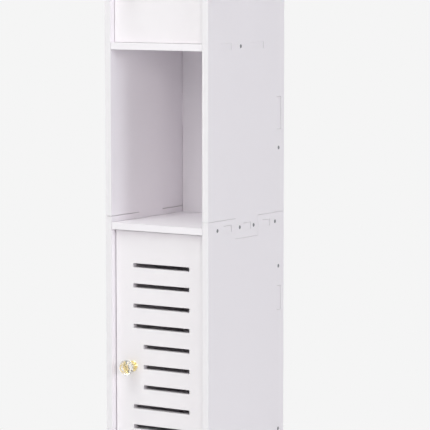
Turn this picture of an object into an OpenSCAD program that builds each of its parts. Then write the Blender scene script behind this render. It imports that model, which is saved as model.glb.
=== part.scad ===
// Tall slim cabinet for toilet rolls: two cupboards with an open niche between them.
// Each side is two boards, one on the other, keyed by a tongue. The other boards reach
// through the sides with tabs and are screwed from outside. Both doors hang at the right.
// X runs to the right, Y to the back and Z up. The floor is Z = 0, and the origin is the
// middle of the whole cabinet's footprint, knobs included.

/* [Carcass] */
// Width over both side boards
body_w = 180; // [150:1:260]
// Depth of the side boards
body_d = 208; // [175:1:300]
// Height of one side board, so the cabinet is twice as tall
module_h = 450; // [375:5:600]
// Thickness of the carcass boards
board_t = 10; // [8:0.5:15]
// How far the back boards stand in from the rear edges of the sides
back_inset = 10; // [4:1:20]
// Gap left under the base board
toe_h = 18; // [8:1:50]
// Depth of the niche floor's top below the seam between the side boards
floor_drop = 9; // [6:0.5:16]
// Clear height of the open niche
niche_h = 254; // [150:1:280]

/* [Tongue] */
// Width of the tongue that keys an upper side board into the lower one
tongue_w = 62; // [54:1:76]
// Length of the tongue
tongue_h = 30; // [26:1:60]
// Gap below the tongue and behind it, in its notch
tongue_play = 0.3; // [0.1:0.05:0.5]
// Gap at the seam, in front of the tongue and behind it
seam_gap = 0.35; // [0.1:0.05:0.5]
// How much wider the seam of the left side is
left_seam_extra = 0.4; // [0:0.1:1.5]

/* [Tabs] */
// Gap above a tab of the base, niche floor and top boards, in the slot it passes through
tab_play = 0.4; // [0.1:0.05:0.5]
// Gap above a tab of the niche ceiling
ceiling_tab_play = 0.1; // [0.1:0.05:0.5]
// Gap above a tab of a back board, and below it
back_tab_play = 0.4; // [0.1:0.05:0.6]
// Gap behind every tab
tab_play_behind = 1.2; // [0.1:0.1:1.5]
// Gap between a board's end and the side board, beside its tabs
shoulder_gap = 0.4; // [0:0.05:0.4]
// Width of the tabs of the base, niche floor and top boards
tab_w = 20; // [12:1:24]
// Distance from a front or rear edge to the middle of the nearest tab
tab_inset = 51; // [42:1:56]
// Width of the niche ceiling's tabs
ceiling_tab_w = 35; // [20:1:44]
// Distance between the niche ceiling's tabs, middle to middle
ceiling_tab_pitch = 88; // [70:1:92]
// Distance from the front edges to the middle of the niche ceiling's joint
ceiling_joint_y = 87.5; // [80:0.5:92]
// Height of the lower back board's tabs
lower_back_tab_h = 36; // [20:1:44]
// Height of the upper back board's tabs
upper_back_tab_h = 48; // [20:1:52]
// Distance from the lower back's top edge to its upper tab
lower_back_tab_top = 111; // [100:1:120]
// Distance from the upper back's lower edge to its lower tab
upper_back_tab_bottom = 157; // [145:1:170]
// Distance from the other end of a back board to its far tab
back_tab_end = 44; // [30:1:60]

/* [Carcass screws] */
// Shank diameter
screw_d = 3; // [2.5:0.1:4.5]
// Head diameter
screw_head_d = 5.6; // [5:0.1:7.5]
// Length
screw_len = 30; // [20:1:40]
// How deep a head is sunk below the board's face
screw_sink = 0.4; // [0.2:0.1:1]
// Radial clearance of every screw in its hole
screw_fit = 0.05; // [0.02:0.01:0.1]
// Distance from a front or rear edge to the nearest screw
screw_inset = 25; // [15:1:32]
// Distance from the middle of a board's joint to the screws beside its middle tab
mid_screw_offset = 19; // [17:0.5:21]
// Distance from the lower back's top edge to its upper screw
lower_back_screw_top = 63; // [50:1:80]
// Distance from the upper back's lower edge to its lower screw
upper_back_screw_bottom = 105; // [90:1:120]
// Distance from the other end of a back board to its far screw
back_screw_end = 92; // [80:1:100]

/* [Doors] */
// Thickness of the doors
door_t = 10; // [8:0.5:14]
// How far a door's face is set back from the front edges
door_recess = 10; // [6:0.5:16]
// Gap between the lower door's free edge and the left side
lower_gap_side = 1.5; // [0.8:0.1:3]
// Gap between the upper door's free edge and the left side
upper_gap_side = 0.8; // [0.8:0.1:3]
// Gap above a door
door_gap_top = 1.9; // [1:0.1:4]
// Gap below the lower door
lower_gap_bottom = 0.3; // [0.3:0.1:3]
// Gap below the upper door
upper_gap_bottom = 0.4; // [0.3:0.1:3]
// Number of slots in the lower door
slot_rows = 11; // [5:2:13]
// Number of short slots, beside the knob
short_rows = 3; // [1:2:5]
// Distance between slots
slot_pitch = 30; // [20:0.5:32]
// Height of a slot
slot_h = 6.4; // [3:0.1:10]
// Radius of a slot's corners
slot_corner = 1; // [0.5:0.1:1.4]
// Length of a long slot
slot_len = 99; // [70:1:100]
// Length of a short slot
short_slot_len = 81; // [50:1:84]
// Distance from a slot's right end to the door's right edge
slot_margin = 25.3; // [16:0.1:30]

/* [Knobs] */
// Distance from the left side's inner face to the middle of a knob
knob_inset = 30.9; // [20:0.1:38]
// Diameter of the base's flange
flange_d = 16; // [13:0.5:22]
// Length of the metal base
knob_base_h = 10; // [9:0.5:14]
// Diameter of the crystal
crystal_d = 22.5; // [16:0.5:30]
// Length of the crystal, with the glue behind it
crystal_h = 15; // [14:0.5:28]
// Thickness of the glue between the base and the crystal
glue_t = 0.05; // [0.02:0.01:0.1]
// Number of facets round the crystal
crystal_sides = 10; // [6:1:16]
// Diameter of the knob screw
knob_screw_d = 4; // [3:0.1:5]
// How far the knob screw reaches into the base
knob_screw_reach = 6; // [4:0.5:7]

/* [Hinges] */
// Length of a hinge
hinge_len = 38; // [30:1:50]
// Diameter of the barrel, which fills the gap between a door and the right side
barrel_d = 4; // [3.6:0.1:6]
// Diameter of the pin
pin_d = 2; // [1.6:0.1:2.4]
// Radial clearance of the pin in its knuckles
pin_fit = 0.05; // [0.02:0.01:0.1]
// Play between knuckles, end to end
knuckle_play = 0.3; // [0.2:0.05:0.5]
// Thickness of a leaf
leaf_t = 0.8; // [0.6:0.1:1.2]
// Width of a leaf, from the pin's axis
leaf_w = 12; // [11:0.5:14]
// How far the pin's axis stands in front of a door's face
pin_ahead = 2.5; // [2.2:0.1:4]
// Distance from a door's end to the middle of its nearest hinge
hinge_inset = 42; // [30:1:60]
// Distance from a hinge's middle to each of its screws
hinge_screw_offset = 12; // [8:0.5:13]

/* [Small screws] */
// Shank diameter of the screws of hinges, catches and strike plates
small_screw_d = 2.5; // [2:0.1:3]
// Head diameter of these screws
small_head_d = 4.6; // [4:0.1:5]
// Length of the screws that go through a board's thickness
short_screw_len = 8; // [6:0.5:8.5]
// Length of the screws that go into a door's edge
edge_screw_len = 12; // [8:0.5:16]

/* [Catches] */
// Width of the catch housing, without its ears
catch_w = 26; // [20:1:32]
// Depth of the catch housing
catch_d = 13; // [10:0.5:20]
// Height of the catch housing
catch_h = 14; // [12:0.5:18]
// Width of each ear
ear_w = 8; // [7:0.5:10]
// Thickness of the ears
ear_t = 2.5; // [2:0.5:4]
// Width of the magnet
magnet_w = 20; // [12:1:20]
// Depth of the magnet
magnet_d = 5; // [3:0.5:7]
// Height of the magnet
magnet_h = 6; // [4:0.5:8]
// Width of the strike plate
strike_w = 30; // [24:1:34]
// Height of the strike plate
strike_h = 10; // [8:0.5:14]
// Thickness of the strike plate
strike_t = 1; // [0.8:0.1:1.5]
// Gap between the magnet and the strike plate of a closed door
catch_gap = 0.3; // [0.2:0.05:0.6]
// Distance from the tips of the left side's screws to the catch's nearest screw
catch_clear = 3; // [2:0.5:8]

/* [Hidden] */
$fn = 48;

// Cuts run this far past the face they open
cut = 1;

// Heights
seam_z = module_h;
body_h = 2 * module_h;
base_z = toe_h;
floor_z = seam_z - floor_drop - board_t;
ceiling_z = seam_z - floor_drop + niche_h;
top_z = body_h - board_t;

// Inside of the carcass
inner_w = body_w - 2 * board_t;
shoulder_w = inner_w - 2 * shoulder_gap;
back_y = body_d - back_inset - board_t;
lower_back_z = base_z + board_t;
lower_back_h = floor_z - lower_back_z;
upper_back_z = floor_z + board_t;
upper_back_h = top_z - upper_back_z;

// The knobs stand out in front, so the footprint's middle is ahead of the carcass's
knob_proud = knob_base_h + crystal_h - door_recess;
front_y = -(body_d - knob_proud) / 2;

// Joints along the depth
full_tab_ys = [tab_inset, body_d / 2, body_d - tab_inset];
full_screw_ys = [screw_inset, body_d / 2 - mid_screw_offset, body_d / 2 + mid_screw_offset,
    body_d - screw_inset];
ceiling_tab_ys = [ceiling_joint_y - ceiling_tab_pitch / 2, ceiling_joint_y + ceiling_tab_pitch / 2];
ceiling_screw_ys = [ceiling_joint_y];

// Joints up the back boards
lower_back_tab_zs = [floor_z - lower_back_tab_top, lower_back_z + back_tab_end];
upper_back_tab_zs = [upper_back_z + upper_back_tab_bottom, top_z - back_tab_end];
lower_back_screw_zs = [floor_z - lower_back_screw_top, lower_back_z + back_screw_end];
upper_back_screw_zs = [upper_back_z + upper_back_screw_bottom, top_z - back_screw_end];
back_joint_y = back_y + board_t / 2;

// Doors
door_right = inner_w / 2 - barrel_d;
lower_door_z = lower_back_z + lower_gap_bottom;
lower_door_h = floor_z - door_gap_top - lower_door_z;
upper_door_z = ceiling_z + board_t + upper_gap_bottom;
upper_door_h = top_z - door_gap_top - upper_door_z;
door_back_y = door_recess + door_t;
slot_right = door_right - slot_margin;

// Knobs, level with the middle slot
knob_x = -inner_w / 2 + knob_inset;
lower_knob_z = lower_door_z + lower_door_h / 2;
upper_knob_z = upper_door_z + upper_door_h / 2;
flange_h = 1.6;
neck_d = 8.4;
cup_d = 13.6;
knob_head_d = 8;
knob_head_h = 2.4;
// Each ring of the crystal's corners: radius and height as parts of its own size
crystal_rings = [[0.56, 0], [0.88, 0.17], [1, 0.42], [0.95, 0.66], [0.7, 0.89], [0.4, 1]];

// Hinges
hinge_x = inner_w / 2 - barrel_d / 2;
hinge_y = door_recess - pin_ahead;
knuckle_h = (hinge_len - 2 * knuckle_play) / 3;
pin_head_d = 3.4;
pin_head_h = 0.8;
hinge_screw_y = pin_ahead + door_t / 2;
// Least room between the two hinges of a door, which moves them outward on a short door
hinge_room = 4;
function hinge_zs(z, height) =
    let (from_end = min(hinge_inset, (height - hinge_len - hinge_room) / 2))
    [z + from_end, z + height - from_end];
lower_hinge_zs = hinge_zs(lower_door_z, lower_door_h);
upper_hinge_zs = hinge_zs(upper_door_z, upper_door_h);

// Catches, each under the board above its door
ear_screw_x = catch_w / 2 + ear_w / 2;
catch_x = -body_w / 2 + screw_sink + screw_len + catch_clear + ear_screw_x;
catch_y = door_back_y + strike_t + catch_gap;
strike_drop = 1;

// Colours
white = [0.94, 0.94, 0.95];
steel = [0.72, 0.73, 0.75];
gold = [0.87, 0.72, 0.38];
crystal = [0.97, 0.95, 0.88];
ferrite = [0.2, 0.2, 0.21];

// Moves a shape from the front edges' own Y into the cabinet's frame
module in_frame() {
    translate([0, front_y, 0]) children();
}

// ---- Screws, drawn from the head's face at the origin along +Z ----

module cross_recess(head_d, depth) {
    slot_w = head_d * 0.17;
    for (turn = [0, 90])
        rotate(turn)
            translate([-head_d * 0.32, -slot_w / 2, -cut])
                cube([head_d * 0.64, slot_w, depth + cut]);
}

module countersunk_screw(d, head_d, length) {
    head_h = (head_d - d) / 2;
    difference() {
        union() {
            cylinder(d1 = head_d, d2 = d, h = head_h);
            translate([0, 0, head_h]) cylinder(d = d, h = length - head_h - d / 2);
            translate([0, 0, length - d / 2]) cylinder(d1 = d, d2 = d / 4, h = d / 2);
        }
        cross_recess(head_d, head_h);
    }
}

// The hole for such a screw, open for some way above its head
module countersunk_hole(d, head_d, length, above) {
    head_h = (head_d - d) / 2;
    translate([0, 0, -above]) cylinder(d = head_d + 2 * screw_fit, h = above);
    cylinder(d1 = head_d + 2 * screw_fit, d2 = d + 2 * screw_fit, h = head_h);
    translate([0, 0, head_h]) cylinder(d = d + 2 * screw_fit, h = length - head_h + screw_fit);
}

// Places children, which point along +Z, to point inward from a side board's outer face
module from_side(side, y, z, depth = 0) {
    translate([side * (body_w / 2 - depth), y, z]) rotate([0, -90 * side, 0]) children();
}

module side_screw(side, y, z) {
    from_side(side, y, z, screw_sink) countersunk_screw(screw_d, screw_head_d, screw_len);
}

module side_screw_hole(side, y, z) {
    from_side(side, y, z, screw_sink)
        countersunk_hole(screw_d, screw_head_d, screw_len, screw_sink + cut);
}

module small_screw(length) {
    countersunk_screw(small_screw_d, small_head_d, length);
}

module small_screw_hole(length) {
    countersunk_hole(small_screw_d, small_head_d, length, cut);
}

// ---- Boards that lie between the sides ----

module level_board(z, depth, tab_ys, tab_width, screw_ys) {
    difference() {
        union() {
            translate([-shoulder_w / 2, 0, z]) cube([shoulder_w, depth, board_t]);
            for (y = tab_ys)
                translate([-body_w / 2, y - tab_width / 2, z]) cube([body_w, tab_width, board_t]);
        }
        for (side = [-1, 1], y = screw_ys) side_screw_hole(side, y, z + board_t / 2);
    }
}

module full_board(z) {
    level_board(z, body_d, full_tab_ys, tab_w, full_screw_ys);
}

module back_board(z, height, tab_zs, tab_height, screw_zs) {
    difference() {
        union() {
            translate([-shoulder_w / 2, back_y, z]) cube([shoulder_w, board_t, height]);
            for (tab_z = tab_zs)
                translate([-body_w / 2, back_y, tab_z - tab_height / 2])
                    cube([body_w, board_t, tab_height]);
        }
        for (side = [-1, 1], screw_z = screw_zs) side_screw_hole(side, back_joint_y, screw_z);
    }
}

module board_screws(z, ys) {
    for (side = [-1, 1], y = ys) side_screw(side, y, z + board_t / 2);
}

module back_screws(zs) {
    for (side = [-1, 1], z = zs) side_screw(side, back_joint_y, z);
}

module catch_screw_holes(board_z) {
    for (s = [-1, 1])
        translate([catch_x + s * ear_screw_x, catch_y + catch_d / 2, board_z - ear_t])
            small_screw_hole(short_screw_len);
}

// ---- Side boards, drawn for the right and mirrored for the left ----

// The slot in a side board for one tab, given the slot's low corner along Y and Z, the tab's
// width and the slot's height. The tab lies against the slot's front.
module tab_slot(y, z, width, height) {
    translate([inner_w / 2 - cut, y, z])
        cube([board_t + 2 * cut, width + tab_play_behind, height]);
}

// A level board's tabs lie on the lower side of their slots
module level_joint_cuts(z, tab_ys, tab_width, play, screw_ys) {
    for (y = tab_ys) tab_slot(y - tab_width / 2, z, tab_width, board_t + play);
    for (y = screw_ys) side_screw_hole(1, y, z + board_t / 2);
}

module full_joint_cuts(z) {
    level_joint_cuts(z, full_tab_ys, tab_w, tab_play, full_screw_ys);
}

module back_joint_cuts(tab_zs, tab_height, screw_zs) {
    slot_height = tab_height + 2 * back_tab_play;
    for (z = tab_zs) tab_slot(back_y, z - slot_height / 2, board_t, slot_height);
    for (z = screw_zs) side_screw_hole(1, back_joint_y, z);
}

// The tongue, or the notch for it, which has play below and behind and is cut past both faces.
// It reaches some way above the seam.
module tongue_space(play, open, above) {
    translate([inner_w / 2 - open, body_d / 2 - tongue_w / 2, seam_z - tongue_h - play])
        cube([board_t + 2 * open, tongue_w + play, tongue_h + play + above]);
}

module lower_side() {
    difference() {
        translate([inner_w / 2, 0, 0]) cube([board_t, body_d, seam_z - seam_gap]);
        tongue_space(tongue_play, cut, cut);
        full_joint_cuts(base_z);
        full_joint_cuts(floor_z);
        back_joint_cuts(lower_back_tab_zs, lower_back_tab_h, lower_back_screw_zs);
    }
}

// Its lower edge, beside the tongue, can lie some way above the seam
module upper_side(edge_lift) {
    difference() {
        union() {
            translate([inner_w / 2, 0, seam_z + edge_lift])
                cube([board_t, body_d, module_h - edge_lift]);
            tongue_space(0, 0, edge_lift + cut);
        }
        full_joint_cuts(floor_z);
        level_joint_cuts(ceiling_z, ceiling_tab_ys, ceiling_tab_w, ceiling_tab_play,
            ceiling_screw_ys);
        full_joint_cuts(top_z);
        back_joint_cuts(upper_back_tab_zs, upper_back_tab_h, upper_back_screw_zs);
    }
}

module lower_side_left() {
    color(white) in_frame() mirror([1, 0, 0]) lower_side();
}

module lower_side_right() {
    color(white) in_frame() difference() {
        lower_side();
        hinge_carcass_screw_holes(lower_hinge_zs);
    }
}

module upper_side_left() {
    color(white) in_frame() mirror([1, 0, 0]) upper_side(left_seam_extra);
}

module upper_side_right() {
    color(white) in_frame() difference() {
        upper_side(0);
        hinge_carcass_screw_holes(upper_hinge_zs);
    }
}

module base_board() {
    color(white) in_frame() full_board(base_z);
}

module niche_floor() {
    color(white) in_frame() difference() {
        full_board(floor_z);
        catch_screw_holes(floor_z);
    }
}

module niche_ceiling() {
    color(white) in_frame()
        level_board(ceiling_z, back_y, ceiling_tab_ys, ceiling_tab_w, ceiling_screw_ys);
}

module top_board() {
    color(white) in_frame() difference() {
        full_board(top_z);
        catch_screw_holes(top_z);
    }
}

module lower_back() {
    color(white) in_frame() back_board(lower_back_z, lower_back_h, lower_back_tab_zs,
        lower_back_tab_h, lower_back_screw_zs);
}

module upper_back() {
    color(white) in_frame() back_board(upper_back_z, upper_back_h, upper_back_tab_zs,
        upper_back_tab_h, upper_back_screw_zs);
}

module base_board_screws() {
    color(steel) in_frame() board_screws(base_z, full_screw_ys);
}

module niche_floor_screws() {
    color(steel) in_frame() board_screws(floor_z, full_screw_ys);
}

module niche_ceiling_screws() {
    color(steel) in_frame() board_screws(ceiling_z, ceiling_screw_ys);
}

module top_board_screws() {
    color(steel) in_frame() board_screws(top_z, full_screw_ys);
}

module lower_back_screws() {
    color(steel) in_frame() back_screws(lower_back_screw_zs);
}

module upper_back_screws() {
    color(steel) in_frame() back_screws(upper_back_screw_zs);
}

// ---- Doors ----

// A slot with rounded corners, given its length and its middle height
module slot_cut(length, z) {
    translate([slot_right - length, door_back_y + cut, z - slot_h / 2]) rotate([90, 0, 0])
        linear_extrude(door_t + 2 * cut) {
            translate([slot_corner, 0]) square([length - 2 * slot_corner, slot_h]);
            translate([0, slot_corner]) square([length, slot_h - 2 * slot_corner]);
            for (x = [slot_corner, length - slot_corner], y = [slot_corner, slot_h - slot_corner])
                translate([x, y]) circle(r = slot_corner);
        }
}

module door_panel(gap_side, z, height, knob_z, hinge_zs) {
    door_x = -inner_w / 2 + gap_side;
    difference() {
        translate([door_x, door_recess, z]) cube([door_right - door_x, door_t, height]);
        translate([knob_x, door_back_y + cut, knob_z]) rotate([90, 0, 0])
            cylinder(d = knob_screw_d + 2 * screw_fit, h = door_t + 2 * cut);
        hinge_door_screw_holes(hinge_zs);
        at_strike(z + height) small_screw_hole(short_screw_len);
    }
}

module lower_door() {
    middle_row = (slot_rows - 1) / 2;
    color(white) in_frame() difference() {
        door_panel(lower_gap_side, lower_door_z, lower_door_h, lower_knob_z, lower_hinge_zs);
        for (row = [0 : slot_rows - 1]) {
            from_middle = row - middle_row;
            is_short = abs(from_middle) <= (short_rows - 1) / 2;
            slot_cut(is_short ? short_slot_len : slot_len, lower_knob_z + from_middle * slot_pitch);
        }
    }
}

module upper_door() {
    color(white) in_frame()
        door_panel(upper_gap_side, upper_door_z, upper_door_h, upper_knob_z, upper_hinge_zs);
}

// ---- Knobs, drawn from the door's face along +Z ----

module at_knob(z) {
    in_frame() translate([knob_x, door_recess, z]) rotate([90, 0, 0]) children();
}

// Half the outline of the metal base: flange, neck and the cup that carries the crystal
module knob_base_outline() {
    waist_z = knob_base_h * 0.48;
    polygon([[0, 0], [flange_d / 2, 0], [flange_d / 2, flange_h * 0.6],
        [flange_d / 2 - flange_h * 0.4, flange_h], [neck_d / 2 + 1.2, flange_h + 0.5],
        [neck_d / 2 + 0.3, waist_z - 1], [neck_d / 2, waist_z], [neck_d / 2 + 0.4, waist_z + 1.1],
        [cup_d / 2 - 0.8, knob_base_h - 2.3], [cup_d / 2, knob_base_h - 1.6],
        [cup_d / 2, knob_base_h - 0.5], [cup_d / 2 - 0.5, knob_base_h], [0, knob_base_h]]);
}

module knob_base(z) {
    color(gold) at_knob(z) difference() {
        rotate_extrude() knob_base_outline();
        translate([0, 0, -cut])
            cylinder(d = knob_screw_d + 2 * screw_fit, h = knob_screw_reach + screw_fit + cut);
    }
}

// Each ring of corners is turned half a facet against the one below it
function ring_points(ring, level) = [
    for (i = [0 : crystal_sides - 1])
        let (angle = (i + level / 2) * 360 / crystal_sides)
        [ring[0] * crystal_d / 2 * cos(angle), ring[0] * crystal_d / 2 * sin(angle),
            ring[1] * (crystal_h - glue_t)]];

function corner(level, i) = level * crystal_sides + i % crystal_sides;

module knob_crystal(z) {
    last = len(crystal_rings) - 1;
    points = [for (level = [0 : last]) each ring_points(crystal_rings[level], level)];
    facets = [
        for (level = [0 : last - 1], i = [0 : crystal_sides - 1])
            each [[corner(level, i), corner(level + 1, i), corner(level, i + 1)],
                [corner(level, i + 1), corner(level + 1, i), corner(level + 1, i + 1)]]];
    back = [for (i = [0 : crystal_sides - 1]) corner(0, i)];
    table = [for (i = [crystal_sides - 1 : -1 : 0]) corner(last, i)];
    color(crystal) at_knob(z) translate([0, 0, knob_base_h + glue_t])
        polyhedron(points, concat([back], facets, [table]));
}

module knob_screw(z) {
    color(steel) at_knob(z) difference() {
        union() {
            translate([0, 0, -door_t - knob_head_h]) cylinder(d = knob_head_d, h = knob_head_h);
            translate([0, 0, -door_t]) cylinder(d = knob_screw_d, h = door_t + knob_screw_reach);
        }
        translate([0, 0, -door_t - knob_head_h]) cross_recess(knob_head_d, knob_head_h * 0.6);
    }
}

module lower_knob_base() {
    knob_base(lower_knob_z);
}

module lower_knob_crystal() {
    knob_crystal(lower_knob_z);
}

module lower_knob_screw() {
    knob_screw(lower_knob_z);
}

module upper_knob_base() {
    knob_base(upper_knob_z);
}

module upper_knob_crystal() {
    knob_crystal(upper_knob_z);
}

module upper_knob_screw() {
    knob_screw(upper_knob_z);
}

// ---- Hinges, drawn round the pin's axis at the middle of the hinge ----

module at_hinge(z) {
    translate([hinge_x, hinge_y, z]) children();
}

module pin_bore() {
    translate([0, 0, -hinge_len / 2 - cut]) cylinder(d = pin_d + 2 * pin_fit, h = hinge_len + 2 * cut);
}

// Room for the other leaf's knuckle, given its lower end and its height
module knuckle_room(z, height) {
    reach = barrel_d / 2 + knuckle_play;
    translate([-reach, -reach, z]) cube([2 * reach, 2 * reach, height]);
}

// Where each leaf's screws enter: out of the carcass leaf towards +X, or the door leaf towards -X
module at_leaf_screws(side) {
    for (s = [-1, 1])
        translate([side * (barrel_d / 2 - leaf_t), hinge_screw_y, s * hinge_screw_offset])
            rotate([0, 90 * side, 0]) children();
}

module carcass_leaf(z) {
    color(steel) in_frame() at_hinge(z) difference() {
        union() {
            translate([barrel_d / 2 - leaf_t, 0, -hinge_len / 2]) cube([leaf_t, leaf_w, hinge_len]);
            for (end_z = [-hinge_len / 2, hinge_len / 2 - knuckle_h])
                translate([0, 0, end_z]) cylinder(d = barrel_d, h = knuckle_h);
        }
        pin_bore();
        knuckle_room(-knuckle_h / 2 - knuckle_play, knuckle_h + 2 * knuckle_play);
        at_leaf_screws(1) small_screw_hole(short_screw_len);
    }
}

module door_leaf(z) {
    color(steel) in_frame() at_hinge(z) difference() {
        union() {
            translate([-barrel_d / 2, 0, -hinge_len / 2]) cube([leaf_t, leaf_w, hinge_len]);
            translate([0, 0, -knuckle_h / 2]) cylinder(d = barrel_d, h = knuckle_h);
        }
        pin_bore();
        for (room_z = [-hinge_len / 2 - cut, knuckle_h / 2])
            knuckle_room(room_z, knuckle_h + knuckle_play + cut);
        at_leaf_screws(-1) small_screw_hole(edge_screw_len);
    }
}

module hinge_pin(z) {
    color(steel) in_frame() at_hinge(z) {
        translate([0, 0, -hinge_len / 2]) cylinder(d = pin_d, h = hinge_len);
        for (head_z = [-hinge_len / 2 - pin_head_h, hinge_len / 2])
            translate([0, 0, head_z]) cylinder(d = pin_head_d, h = pin_head_h);
    }
}

module hinge_carcass_screw_holes(zs) {
    for (z = zs) at_hinge(z) at_leaf_screws(1) small_screw_hole(short_screw_len);
}

module hinge_door_screw_holes(zs) {
    for (z = zs) at_hinge(z) at_leaf_screws(-1) small_screw_hole(edge_screw_len);
}

module hinge_carcass_screws(zs) {
    color(steel) in_frame() for (z = zs) at_hinge(z) at_leaf_screws(1) small_screw(short_screw_len);
}

module hinge_door_screws(zs) {
    color(steel) in_frame() for (z = zs) at_hinge(z) at_leaf_screws(-1) small_screw(edge_screw_len);
}

module lower_hinge_1_carcass_leaf() {
    carcass_leaf(lower_hinge_zs[0]);
}

module lower_hinge_1_door_leaf() {
    door_leaf(lower_hinge_zs[0]);
}

module lower_hinge_1_pin() {
    hinge_pin(lower_hinge_zs[0]);
}

module lower_hinge_2_carcass_leaf() {
    carcass_leaf(lower_hinge_zs[1]);
}

module lower_hinge_2_door_leaf() {
    door_leaf(lower_hinge_zs[1]);
}

module lower_hinge_2_pin() {
    hinge_pin(lower_hinge_zs[1]);
}

module upper_hinge_1_carcass_leaf() {
    carcass_leaf(upper_hinge_zs[0]);
}

module upper_hinge_1_door_leaf() {
    door_leaf(upper_hinge_zs[0]);
}

module upper_hinge_1_pin() {
    hinge_pin(upper_hinge_zs[0]);
}

module upper_hinge_2_carcass_leaf() {
    carcass_leaf(upper_hinge_zs[1]);
}

module upper_hinge_2_door_leaf() {
    door_leaf(upper_hinge_zs[1]);
}

module upper_hinge_2_pin() {
    hinge_pin(upper_hinge_zs[1]);
}

module lower_hinge_carcass_screws() {
    hinge_carcass_screws(lower_hinge_zs);
}

module lower_hinge_door_screws() {
    hinge_door_screws(lower_hinge_zs);
}

module upper_hinge_carcass_screws() {
    hinge_carcass_screws(upper_hinge_zs);
}

module upper_hinge_door_screws() {
    hinge_door_screws(upper_hinge_zs);
}

// ---- Catches: the magnet hangs under a board, the strike plate is on the door ----

// The pocket is open at the front, and its middle is the housing's middle
module magnet_space(board_z, play) {
    translate([catch_x - magnet_w / 2 - play, catch_y - play, board_z - (catch_h + magnet_h) / 2 - play])
        cube([magnet_w + 2 * play, magnet_d + 2 * play, magnet_h + 2 * play]);
}

module catch_housing(board_z) {
    color(white) in_frame() difference() {
        union() {
            translate([catch_x - catch_w / 2, catch_y, board_z - catch_h])
                cube([catch_w, catch_d, catch_h]);
            translate([catch_x - catch_w / 2 - ear_w, catch_y, board_z - ear_t])
                cube([catch_w + 2 * ear_w, catch_d, ear_t]);
        }
        magnet_space(board_z, screw_fit);
        catch_screw_holes(board_z);
    }
}

module catch_magnet(board_z) {
    color(ferrite) in_frame() magnet_space(board_z, 0);
}

module catch_screws(board_z) {
    color(steel) in_frame() for (s = [-1, 1])
        translate([catch_x + s * ear_screw_x, catch_y + catch_d / 2, board_z - ear_t])
            small_screw(short_screw_len);
}

// The strike's screw enters from the plate's rear face, given the door's top
module at_strike(door_top) {
    translate([catch_x, door_back_y + strike_t, door_top - strike_drop - strike_h / 2])
        rotate([90, 0, 0]) children();
}

module strike_plate(door_top) {
    color(steel) in_frame() difference() {
        translate([catch_x - strike_w / 2, door_back_y, door_top - strike_drop - strike_h])
            cube([strike_w, strike_t, strike_h]);
        at_strike(door_top) small_screw_hole(short_screw_len);
    }
}

module strike_screw(door_top) {
    color(steel) in_frame() at_strike(door_top) small_screw(short_screw_len);
}

module lower_catch_housing() {
    catch_housing(floor_z);
}

module lower_catch_magnet() {
    catch_magnet(floor_z);
}

module lower_catch_screws() {
    catch_screws(floor_z);
}

module lower_strike_plate() {
    strike_plate(lower_door_z + lower_door_h);
}

module lower_strike_screw() {
    strike_screw(lower_door_z + lower_door_h);
}

module upper_catch_housing() {
    catch_housing(top_z);
}

module upper_catch_magnet() {
    catch_magnet(top_z);
}

module upper_catch_screws() {
    catch_screws(top_z);
}

module upper_strike_plate() {
    strike_plate(upper_door_z + upper_door_h);
}

module upper_strike_screw() {
    strike_screw(upper_door_z + upper_door_h);
}

lower_side_left();
lower_side_right();
upper_side_left();
upper_side_right();
base_board();
niche_floor();
niche_ceiling();
top_board();
lower_back();
upper_back();
base_board_screws();
niche_floor_screws();
niche_ceiling_screws();
top_board_screws();
lower_back_screws();
upper_back_screws();
lower_door();
lower_knob_base();
lower_knob_crystal();
lower_knob_screw();
upper_door();
upper_knob_base();
upper_knob_crystal();
upper_knob_screw();
lower_hinge_1_carcass_leaf();
lower_hinge_1_door_leaf();
lower_hinge_1_pin();
lower_hinge_2_carcass_leaf();
lower_hinge_2_door_leaf();
lower_hinge_2_pin();
upper_hinge_1_carcass_leaf();
upper_hinge_1_door_leaf();
upper_hinge_1_pin();
upper_hinge_2_carcass_leaf();
upper_hinge_2_door_leaf();
upper_hinge_2_pin();
lower_hinge_carcass_screws();
lower_hinge_door_screws();
upper_hinge_carcass_screws();
upper_hinge_door_screws();
lower_catch_housing();
lower_catch_magnet();
lower_catch_screws();
lower_strike_plate();
lower_strike_screw();
upper_catch_housing();
upper_catch_magnet();
upper_catch_screws();
upper_strike_plate();
upper_strike_screw();
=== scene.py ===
# %% [markdown]
# # A slim white cabinet for toilet rolls
# The cabinet is boards, screws, hinges, catches and two knobs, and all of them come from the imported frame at
# their real size. Nothing here moves them. This script gives each one its finish, eases the sawn edges as a
# workshop does, and sets the camera and the light of the photograph. Everything is in metres.

# %% Load the frame
import math

import bpy
from mathutils import Matrix, Vector

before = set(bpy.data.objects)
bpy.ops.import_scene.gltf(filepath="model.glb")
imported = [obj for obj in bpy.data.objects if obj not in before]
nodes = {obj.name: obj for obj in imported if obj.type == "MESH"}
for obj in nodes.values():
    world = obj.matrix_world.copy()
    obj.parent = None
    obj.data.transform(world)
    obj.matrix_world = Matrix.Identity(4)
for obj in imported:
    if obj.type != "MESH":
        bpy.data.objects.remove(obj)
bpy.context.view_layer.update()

# %% [markdown]
# ## Units and colours
# Sizes of finishes are thought of in millimetres, so one value turns them to metres. Blender's colours are
# linear, but a listed colour is sRGB, so one function turns a hex value into linear red, green, blue.

# %% Units and colours
MM = 0.001


def srgb(hex_value):
    """A hex colour such as F2F0F2 as linear red, green, blue and a full alpha."""
    channels = [int(hex_value[i:i + 2], 16) / 255 for i in (0, 2, 4)]
    linear = [c / 12.92 if c <= 0.04045 else ((c + 0.055) / 1.055) ** 2.4 for c in channels]
    return (*linear, 1.0)


print("the board's white in linear colour:", [round(c, 3) for c in srgb("F0EBF0")])

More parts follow.
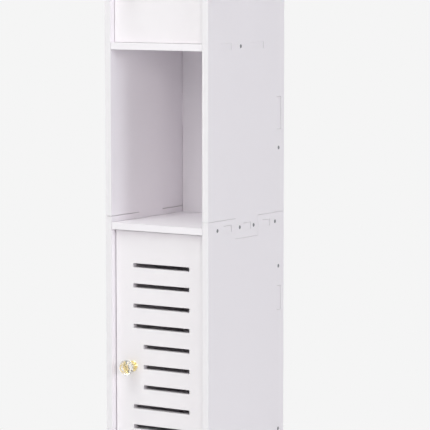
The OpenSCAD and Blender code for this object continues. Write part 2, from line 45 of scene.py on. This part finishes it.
# %% [markdown]
# ## The camera
# The photograph looks at the cabinet's right front corner through a long lens, from a little above. The
# place and the lens were solved from the cabinet's own edges, so they are plain numbers. A long lens keeps
# the upright edges almost parallel, as they are in the photograph.

# %% The camera
CAMERA_AT = Vector((1.9707, -2.9729, 0.8185))
CAMERA_TURN = math.radians(33.0135)
CAMERA_TILT = math.radians(5.9321)
CAMERA_ROLL = math.radians(-0.0308)
LENS_MM = 202.094
SENSOR_MM = 36
scene = bpy.context.scene


def make_camera():
    camera = bpy.data.objects.new("camera", bpy.data.cameras.new("camera"))
    camera.data.lens = LENS_MM
    camera.data.sensor_width = SENSOR_MM
    turn = Matrix.Rotation(CAMERA_TURN, 4, "Z")
    tilt = Matrix.Rotation(math.pi / 2 - CAMERA_TILT, 4, "X")
    roll = Matrix.Rotation(CAMERA_ROLL, 4, "Z")
    camera.matrix_world = Matrix.Translation(CAMERA_AT) @ turn @ tilt @ roll
    scene.collection.objects.link(camera)
    return camera


scene.camera = make_camera()
scene.view_settings.view_transform = "Standard"
print("camera is", round(CAMERA_AT.length, 2), "m from the origin")

# %% [markdown]
# ## Materials from small nodes
# Each finish below is a few nodes. One small function adds a node, chooses its settings and makes its links,
# so that a material reads as a list of what it is made of. The part that fills the inputs stands on its own,
# because the shader at the end of each material is filled in the same way.


# %% One function for a node
def fill(material, node, inputs):
    """Fills a node's inputs. Each is a plain value, or another node's output to link from."""
    for name, value in inputs.items():
        if isinstance(value, bpy.types.NodeSocket):
            material.node_tree.links.new(value, node.inputs[name])
        else:
            node.inputs[name].default_value = value


def add_node(material, kind, settings=None, inputs=None):
    """Adds a node of a kind, with its settings and its inputs."""
    node = material.node_tree.nodes.new(kind)
    for name, value in (settings or {}).items():
        setattr(node, name, value)
    fill(material, node, inputs or {})
    return node


# %% A new material, and pieces that wear it
def new_material(name):
    """An empty material and its Principled shader, already joined to the output."""
    material = bpy.data.materials.new(name)
    material.use_nodes = True
    return material, material.node_tree.nodes["Principled BSDF"]


def dress(names, material):
    """Gives CAD nodes a material in place of their plain one."""
    for name in names:
        for slot in nodes[name].material_slots:
            slot.material = material
    print(material.name, "on", len(names), "nodes")


# %% [markdown]
# ## White foamed board
# The boards are rigid foamed PVC, 10 mm thick. Rollers press the face smooth while it is warm, so the face
# is a soft satin white with a faint orange peel. The cut edges show the cutter's fine marks across the board
# and are a little rougher. The cuts of the level boards and backs are as white as the face, and those of the
# uprights a little greyer. The doors' cuts are painted darker still, as painted shade for the inside of their
# narrow slots.

# %% Whites, sizes and roughness of the board
# Each face drifts between two whites, which are a little deeper on the doors
FACE = ("EFEAEF", "F1ECF1")
DOOR_FACE = ("EDE8EC", "EFEAEE")
TRIMMED_CUT = "F0EBF0"
# The uprights' cuts are a little greyer than their faces
UPRIGHT_CUT_GREY = "EAE6EA"
# The doors' cuts: a painted shade for the inside of their narrow slots, which darkens their outer edges too
DOOR_CUT_PAINTED_SHADE = "D8D4D8"
CLOUD = 60 * MM
PEEL = 2.5 * MM
# A router leaves about one mark each 0.4 mm; 1.2 mm is as fine as this picture can show
ROUTER_MARK = 1.2 * MM
RELIEF = 0.03 * MM
RELIEF_STRENGTH = 0.35
FACE_ROUGHNESS = (0.5, 0.6)
CUT_ROUGHNESS = 0.65
BOARD_IOR = 1.5
print("peel", PEEL / MM, "mm, cutter's marks", ROUTER_MARK / MM, "mm, relief", RELIEF / MM, "mm")

# %% [markdown]
# ## Faces and cuts
# A board's faces look along its thin axis and its cuts look across it. So the surface's direction tells the
# nodes which of the two they are on, and the same nodes serve all boards once they are told which way a
# board is thin.

# %% Faces and cuts
# On a cut, the thin axis has less than this share of the surface's direction
CUT_BELOW = 0.3
# Blender's diagonal wave turns by 10 radians for each unit of x + y + z, times its scale
WAVE_RADIANS = 10
WAVE_SCALE = 2 * math.pi / (WAVE_RADIANS * ROUTER_MARK)


def where_cut(material, place, thin_axis):
    """An output that is 1 on the cuts and 0 on the faces."""
    facing = add_node(material, "ShaderNodeSeparateXYZ", None, {"Vector": place.outputs["Normal"]})
    share = add_node(material, "ShaderNodeMath", {"operation": "ABSOLUTE"},
                     {0: facing.outputs[thin_axis]})
    cut = add_node(material, "ShaderNodeMath", {"operation": "LESS_THAN"},
                   {0: share.outputs[0], 1: CUT_BELOW})
    return cut.outputs[0]


def board_relief(material, place, thin_axis, cut):
    """Orange peel on the faces, and on the cuts marks that cross the board's thickness."""
    peel = add_node(material, "ShaderNodeTexNoise", None,
                    {"Vector": place.outputs["Object"], "Scale": 1 / PEEL, "Detail": 2.0})
    in_plane = [0.0 if axis == thin_axis else 1.0 for axis in "XYZ"]
    along = add_node(material, "ShaderNodeVectorMath", {"operation": "MULTIPLY"},
                     {0: place.outputs["Object"], 1: in_plane})
    marks = add_node(material, "ShaderNodeTexWave", {"bands_direction": "DIAGONAL"},
                     {"Vector": along.outputs[0], "Distortion": 0.6, "Detail": 1.0, "Scale": WAVE_SCALE})
    height = add_node(material, "ShaderNodeMix", {"data_type": "FLOAT"},
                      {"Factor": cut, "A": peel.outputs["Fac"], "B": marks.outputs["Fac"]})
    bump = add_node(material, "ShaderNodeBump", None,
                    {"Height": height.outputs[0], "Strength": RELIEF_STRENGTH, "Distance": RELIEF})
    return bump.outputs[0]


print("marks come at a wave scale of", round(WAVE_SCALE))

# %% [markdown]
# ## The board's finish
# A slow cloud of noise drifts the face between its two whites and between two roughnesses, as a rolled sheet
# does, and the cuts have one colour and one roughness of their own; on the doors that colour is a painted
# shade.


# %% The board's finish
def foamed_board(name, thin_axis, face, cut_colour_and_shade):
    material, shader = new_material(name)
    place = add_node(material, "ShaderNodeTexCoord")
    cut = where_cut(material, place, thin_axis)
    cloud = add_node(material, "ShaderNodeTexNoise", None,
                     {"Vector": place.outputs["Object"], "Scale": 1 / CLOUD, "Detail": 3.0})
    tint = add_node(material, "ShaderNodeMix", {"data_type": "RGBA"},
                    {"Factor": cloud.outputs["Fac"], "A": srgb(face[0]), "B": srgb(face[1])})
    # Cuts take their own colour here; on the doors it is a painted shade for the inside of the slots
    colour = add_node(material, "ShaderNodeMix", {"data_type": "RGBA"},
                      {"Factor": cut, "A": tint.outputs["Result"], "B": srgb(cut_colour_and_shade)})
    satin = add_node(material, "ShaderNodeMapRange", None,
                     {"Value": cloud.outputs["Fac"],
                      "To Min": FACE_ROUGHNESS[0], "To Max": FACE_ROUGHNESS[1]})
    rough = add_node(material, "ShaderNodeMix", {"data_type": "FLOAT"},
                     {"Factor": cut, "A": satin.outputs[0], "B": CUT_ROUGHNESS})
    fill(material, shader, {"Base Color": colour.outputs["Result"], "Roughness": rough.outputs[0],
                            "Normal": board_relief(material, place, thin_axis, cut), "IOR": BOARD_IOR})
    return material


SIDES = ["lower_side_left", "lower_side_right", "upper_side_left", "upper_side_right"]
LEVEL_BOARDS = ["base_board", "niche_floor", "niche_ceiling", "top_board"]
BACKS = ["lower_back", "upper_back"]
DOORS = ["lower_door", "upper_door"]
dress(SIDES, foamed_board("foamed_board_upright", "X", FACE, UPRIGHT_CUT_GREY))
dress(LEVEL_BOARDS, foamed_board("foamed_board_level", "Z", FACE, TRIMMED_CUT))
dress(BACKS, foamed_board("foamed_board_back", "Y", FACE, TRIMMED_CUT))
# The doors' cuts wear the painted slot shade
dress(DOORS, foamed_board("foamed_board_door", "Y", DOOR_FACE, DOOR_CUT_PAINTED_SHADE))

# %% [markdown]
# ## Eased edges
# A sawn edge is never razor sharp: a pass of sandpaper or a trimming bit takes a few tenths of a millimetre
# off. That small slope catches light, and it draws the thin lines round the tabs and along the seam. The
# frame's meshes come as loose triangles, so a Weld joins them and a planar Decimate turns each flat side
# back into whole faces before the Bevel works on it. Weighted normals keep the big faces looking flat.

# %% Eased edges
EASE = 0.2 * MM
# With more than this, the line where the left boards meet gets darker than in the photograph
LEFT_EASE = 0.05 * MM
EASE_STEPS = 2
SAME_POINT = 0.001 * MM
FLAT_WITHIN = math.radians(0.5)
EDGE_FROM = math.radians(60)


def ease_edges(name, width):
    board = nodes[name]
    mesh = board.data
    if "custom_normal" in mesh.attributes:
        mesh.attributes.remove(mesh.attributes["custom_normal"])
    weld = board.modifiers.new("weld", "WELD")
    weld.merge_threshold = SAME_POINT
    flatten = board.modifiers.new("flatten", "DECIMATE")
    flatten.decimate_type = "DISSOLVE"
    flatten.angle_limit = FLAT_WITHIN
    ease = board.modifiers.new("ease", "BEVEL")
    ease.width = width
    ease.segments = EASE_STEPS
    ease.limit_method = "ANGLE"
    ease.angle_limit = EDGE_FROM
    ease.use_clamp_overlap = False
    normals = board.modifiers.new("normals", "WEIGHTED_NORMAL")
    normals.keep_sharp = False


BOARDS = SIDES + LEVEL_BOARDS + BACKS + DOORS
for name in BOARDS:
    ease_edges(name, LEFT_EASE if name.endswith("left") else EASE)
print("eased", len(BOARDS), "boards")

# %% [markdown]
# ## Zinc plated screws
# The screws are zinc plated steel, grey and a little dull, with a fine grain from the plating bath. A metal's
# colour is in its reflection, so the default IOR stays.

# %% Zinc plated screws
SCREWS = [name for name in nodes if name.endswith(("screw", "screws"))]
ZINC = ("8F8F94", "A6A6AA")
ZINC_GRAIN = 0.8 * MM
ZINC_ROUGHNESS = (0.3, 0.45)


def zinc_plate():
    material, shader = new_material("zinc_plated_steel")
    place = add_node(material, "ShaderNodeTexCoord")
    grain = add_node(material, "ShaderNodeTexNoise", None,
                     {"Vector": place.outputs["Object"], "Scale": 1 / ZINC_GRAIN, "Detail": 3.0})
    tone = add_node(material, "ShaderNodeMix", {"data_type": "RGBA"},
                    {"Factor": grain.outputs["Fac"], "A": srgb(ZINC[0]), "B": srgb(ZINC[1])})
    rough = add_node(material, "ShaderNodeMapRange", None,
                     {"Value": grain.outputs["Fac"],
                      "To Min": ZINC_ROUGHNESS[0], "To Max": ZINC_ROUGHNESS[1]})
    fill(material, shader, {"Base Color": tone.outputs["Result"], "Roughness": rough.outputs[0],
                            "Metallic": 1.0})
    return material


dress(SCREWS, zinc_plate())

# %% [markdown]
# ## Brushed steel hinges
# The hinges and the strike plates are rolled steel sheet, brushed up and down. Noise that is stretched along
# the height gives the brush's lines, in the colour, the roughness and a very shallow relief.

# %% Brushed steel hinges
HINGES = [name for name in nodes if "_leaf" in name or name.endswith(("_pin", "strike_plate"))]
STEEL = ("B4B5B8", "C8C8CB")
BRUSH_LINE = 0.4 * MM
# A line is twenty times as long as it is wide
BRUSH_STRETCH = (1.0, 1.0, 0.05)
BRUSH_DEPTH = 0.01 * MM
BRUSH_STRENGTH = 0.3
STEEL_ROUGHNESS = (0.25, 0.4)


def brushed_steel():
    material, shader = new_material("brushed_steel_sheet")
    place = add_node(material, "ShaderNodeTexCoord")
    stretch = add_node(material, "ShaderNodeVectorMath", {"operation": "MULTIPLY"},
                       {0: place.outputs["Object"], 1: BRUSH_STRETCH})
    lines = add_node(material, "ShaderNodeTexNoise", None,
                     {"Vector": stretch.outputs[0], "Scale": 1 / BRUSH_LINE, "Detail": 2.0})
    tone = add_node(material, "ShaderNodeMix", {"data_type": "RGBA"},
                    {"Factor": lines.outputs["Fac"], "A": srgb(STEEL[0]), "B": srgb(STEEL[1])})
    rough = add_node(material, "ShaderNodeMapRange", None,
                     {"Value": lines.outputs["Fac"],
                      "To Min": STEEL_ROUGHNESS[0], "To Max": STEEL_ROUGHNESS[1]})
    bump = add_node(material, "ShaderNodeBump", None,
                    {"Height": lines.outputs["Fac"], "Strength": BRUSH_STRENGTH,
                     "Distance": BRUSH_DEPTH})
    fill(material, shader, {"Base Color": tone.outputs["Result"], "Roughness": rough.outputs[0],
                            "Normal": bump.outputs[0], "Metallic": 1.0})
    return material


dress(HINGES, brushed_steel())

# %% [markdown]
# ## The knobs' gold plated bases
# Each knob stands on a small brass base with a thin bright gold plating. A slight haze from handling changes
# how sharply it mirrors, and the colour with it.

# %% The knobs' gold plated bases
KNOB_BASES = ["lower_knob_base", "upper_knob_base"]
GOLD = ("F2DC9C", "F8E8B6")
HAZE = 3 * MM
GOLD_ROUGHNESS = (0.1, 0.2)


def gold_plate():
    material, shader = new_material("gold_plated_brass")
    place = add_node(material, "ShaderNodeTexCoord")
    haze = add_node(material, "ShaderNodeTexNoise", None,
                    {"Vector": place.outputs["Object"], "Scale": 1 / HAZE, "Detail": 2.0})
    tone = add_node(material, "ShaderNodeMix", {"data_type": "RGBA"},
                    {"Factor": haze.outputs["Fac"], "A": srgb(GOLD[0]), "B": srgb(GOLD[1])})
    rough = add_node(material, "ShaderNodeMapRange", None,
                     {"Value": haze.outputs["Fac"],
                      "To Min": GOLD_ROUGHNESS[0], "To Max": GOLD_ROUGHNESS[1]})
    fill(material, shader, {"Base Color": tone.outputs["Result"], "Roughness": rough.outputs[0],
                            "Metallic": 1.0})
    return material


dress(KNOB_BASES, gold_plate())

# %% [markdown]
# ## The knobs' cut crystals
# The crystal is clear cut glass, polished and wiped by hand, and what colours it is the gold base seen
# through its facets.

# %% The knobs' cut crystals
CRYSTALS = ["lower_knob_crystal", "upper_knob_crystal"]
CLEAR = "FEFBF4"
CRYSTAL_IOR = 1.54
WIPE = 6 * MM
CRYSTAL_ROUGHNESS = (0.0, 0.04)


def cut_crystal():
    material, shader = new_material("cut_crystal")
    place = add_node(material, "ShaderNodeTexCoord")
    wipe = add_node(material, "ShaderNodeTexNoise", None,
                    {"Vector": place.outputs["Object"], "Scale": 1 / WIPE, "Detail": 1.0})
    rough = add_node(material, "ShaderNodeMapRange", None,
                     {"Value": wipe.outputs["Fac"],
                      "To Min": CRYSTAL_ROUGHNESS[0], "To Max": CRYSTAL_ROUGHNESS[1]})
    fill(material, shader, {"Base Color": srgb(CLEAR), "Roughness": rough.outputs[0],
                            "Transmission Weight": 1.0, "IOR": CRYSTAL_IOR})
    return material


dress(CRYSTALS, cut_crystal())

# %% [markdown]
# ## The catches' housings
# Each catch is a moulded ABS housing. The mould was spark eroded, which leaves a fine pebbled skin.

# %% The catches' housings
HOUSINGS = ["lower_catch_housing", "upper_catch_housing"]
ABS_WHITE = "EDEDEC"
SPARK = 0.6 * MM
SPARK_DEPTH = 0.02 * MM
SPARK_STRENGTH = 0.4
ABS_ROUGHNESS = (0.25, 0.4)


def moulded_abs():
    material, shader = new_material("white_moulded_abs")
    place = add_node(material, "ShaderNodeTexCoord")
    spark = add_node(material, "ShaderNodeTexNoise", None,
                     {"Vector": place.outputs["Object"], "Scale": 1 / SPARK, "Detail": 2.0})
    bump = add_node(material, "ShaderNodeBump", None,
                    {"Height": spark.outputs["Fac"], "Strength": SPARK_STRENGTH,
                     "Distance": SPARK_DEPTH})
    rough = add_node(material, "ShaderNodeMapRange", None,
                     {"Value": spark.outputs["Fac"],
                      "To Min": ABS_ROUGHNESS[0], "To Max": ABS_ROUGHNESS[1]})
    fill(material, shader, {"Base Color": srgb(ABS_WHITE), "Roughness": rough.outputs[0],
                            "Normal": bump.outputs[0]})
    return material


dress(HOUSINGS, moulded_abs())

# %% [markdown]
# ## The catches' magnets
# A catch's magnet is ferrite powder, pressed and sintered, which leaves it nearly black, dull and gritty.

# %% The catches' magnets
MAGNETS = ["lower_catch_magnet", "upper_catch_magnet"]
FERRITE = ("2A2A2C", "3C3B3D")
GRIT = 0.5 * MM
GRIT_DEPTH = 0.03 * MM
GRIT_STRENGTH = 0.5
FERRITE_ROUGHNESS = 0.7


def sintered_ferrite():
    material, shader = new_material("sintered_ferrite")
    place = add_node(material, "ShaderNodeTexCoord")
    grit = add_node(material, "ShaderNodeTexNoise", None,
                    {"Vector": place.outputs["Object"], "Scale": 1 / GRIT, "Detail": 4.0})
    tone = add_node(material, "ShaderNodeMix", {"data_type": "RGBA"},
                    {"Factor": grit.outputs["Fac"], "A": srgb(FERRITE[0]), "B": srgb(FERRITE[1])})
    bump = add_node(material, "ShaderNodeBump", None,
                    {"Height": grit.outputs["Fac"], "Strength": GRIT_STRENGTH, "Distance": GRIT_DEPTH})
    fill(material, shader, {"Base Color": tone.outputs["Result"], "Normal": bump.outputs[0],
                            "Roughness": FERRITE_ROUGHNESS})
    return material


dress(MAGNETS, sintered_ferrite())

# %% [markdown]
# ## A backdrop that lights nothing
# The photograph's background is nearly white. A floor and a room as bright as that would light the cabinet
# from all sides and flatten it. So the bright colour is shown only to the camera and in mirrors and glass,
# and all other rays meet a real floor and a dim room.

# %% A backdrop that lights nothing
BACKDROP = srgb("F5F5F5")


def seen_directly(owner, share):
    """An output that is share for the camera, mirrors and glass, and 0 for all other rays."""
    rays = add_node(owner, "ShaderNodeLightPath")
    mirror = add_node(owner, "ShaderNodeMath", {"operation": "MAXIMUM"},
                      {0: rays.outputs["Is Glossy Ray"], 1: rays.outputs["Is Transmission Ray"]})
    seen = add_node(owner, "ShaderNodeMath", {"operation": "MAXIMUM"},
                    {0: rays.outputs["Is Camera Ray"], 1: mirror.outputs[0]})
    part = add_node(owner, "ShaderNodeMath", {"operation": "MULTIPLY"}, {0: seen.outputs[0], 1: share})
    return part.outputs[0]


def make_world(colour, strength):
    """A dim soft room that lights the cabinet, and the backdrop for whatever is seen directly."""
    world = bpy.data.worlds.new("soft_room")
    world.use_nodes = True
    room = world.node_tree.nodes["Background"]
    fill(world, room, {"Color": srgb(colour), "Strength": strength})
    wall = add_node(world, "ShaderNodeBackground", None, {"Color": BACKDROP, "Strength": 1.0})
    mix = add_node(world, "ShaderNodeMixShader", None,
                   {"Fac": seen_directly(world, 1.0), 1: room.outputs[0], 2: wall.outputs[0]})
    fill(world, world.node_tree.nodes["World Output"], {"Surface": mix.outputs[0]})
    scene.world = world


make_world("FFFCFF", 0.267)
print("world:", scene.world.name)

# %% [markdown]
# ## The floor
# Near the cabinet the floor takes its shadow, and within a short way it turns into the backdrop, so that no
# horizon shows. It is matt paper, so the cabinet has no mirror image in it.

# %% The floor
FLOOR_RADIUS = 14
FLOOR_SIDES = 96
FLOOR_WHITE = "F3F3F4"
FLOOR_ROUGHNESS = 0.9
FLOOR_SPECULAR = 0.1
# The floor turns into the backdrop between these distances, and glows this much nearer the cabinet
FADE = (0.2, 0.7)
GLOW_NEAR = 0.35


def paper_floor():
    material, shader = new_material("pale_floor")
    fill(material, shader, {"Base Color": srgb(FLOOR_WHITE), "Roughness": FLOOR_ROUGHNESS,
                            "Specular IOR Level": FLOOR_SPECULAR})
    place = add_node(material, "ShaderNodeTexCoord")
    reach = add_node(material, "ShaderNodeVectorMath", {"operation": "LENGTH"},
                     {0: place.outputs["Object"]})
    far = add_node(material, "ShaderNodeMapRange", {"interpolation_type": "SMOOTHSTEP"},
                   {"Value": reach.outputs["Value"], "From Min": FADE[0], "From Max": FADE[1]})
    share = add_node(material, "ShaderNodeMapRange", None,
                     {"Value": far.outputs[0], "To Min": GLOW_NEAR, "To Max": 1.0})
    glow = add_node(material, "ShaderNodeEmission", None, {"Color": BACKDROP, "Strength": 1.0})
    mix = add_node(material, "ShaderNodeMixShader", None,
                   {"Fac": seen_directly(material, share.outputs[0]), 1: shader.outputs[0],
                    2: glow.outputs[0]})
    fill(material, material.node_tree.nodes["Material Output"], {"Surface": mix.outputs[0]})
    return material


bpy.ops.mesh.primitive_circle_add(vertices=FLOOR_SIDES, radius=FLOOR_RADIUS, fill_type="NGON")
floor = bpy.context.object
floor.name = "floor"
floor.data.materials.append(paper_floor())
print("floor:", 2 * FLOOR_RADIUS, "m across")

# %% [markdown]
# ## The lamps
# The photograph is lit by a soft white room and softboxes, and the cabinet itself shows where they are. The
# fronts are brightest, so the biggest one hangs high in front, with a smaller one lower down. The open niche
# is lit well inside and its back wall gets brighter to the right, so two more stand near the camera. The
# niche's left wall has a bright strip that ends about 50 mm in, where the shadow of the right side begins,
# so one stands far to the right. A weak one low behind the cabinet keeps its back from going grey. Each is
# given by its direction from the cabinet: degrees to the right of straight ahead, and degrees up.

# %% The lamps
AIM = Vector((0, 0, 0.5))
LAMP_DISTANCE = 8


def make_softbox(name, turn, rise, size, watts, colour):
    """A softbox that faces the cabinet. Turn and rise are in degrees, and size is width and height."""
    lamp = bpy.data.lights.new(name, "AREA")
    lamp.shape = "RECTANGLE"
    lamp.size, lamp.size_y = size
    lamp.energy = watts
    lamp.color = srgb(colour)[:3]
    holder = bpy.data.objects.new(name, lamp)
    turn, rise = math.radians(turn), math.radians(rise)
    towards = Vector((math.sin(turn) * math.cos(rise), -math.cos(turn) * math.cos(rise), math.sin(rise)))
    holder.location = AIM + LAMP_DISTANCE * towards
    holder.rotation_euler = towards.to_track_quat("Z", "Y").to_euler()
    scene.collection.objects.link(holder)
    print(name, "at", [round(value, 2) for value in holder.location])


make_softbox("high_front", 0, 60, (4, 7), 360, "F8FFF9")
make_softbox("low_front", -8, 25, (3, 3), 78, "F8FFF9")
make_softbox("above_camera", 30, 22, (2.5, 2.5), 38, "FFF9F9")
make_softbox("beside_camera", 46, 10, (2, 2), 88, "FFF9F9")
make_softbox("far_right", 78, 12, (1.8, 1.3), 131, "F4FCFF")
make_softbox("behind", 190, 8, (5, 3), 45, "FFFCFF")
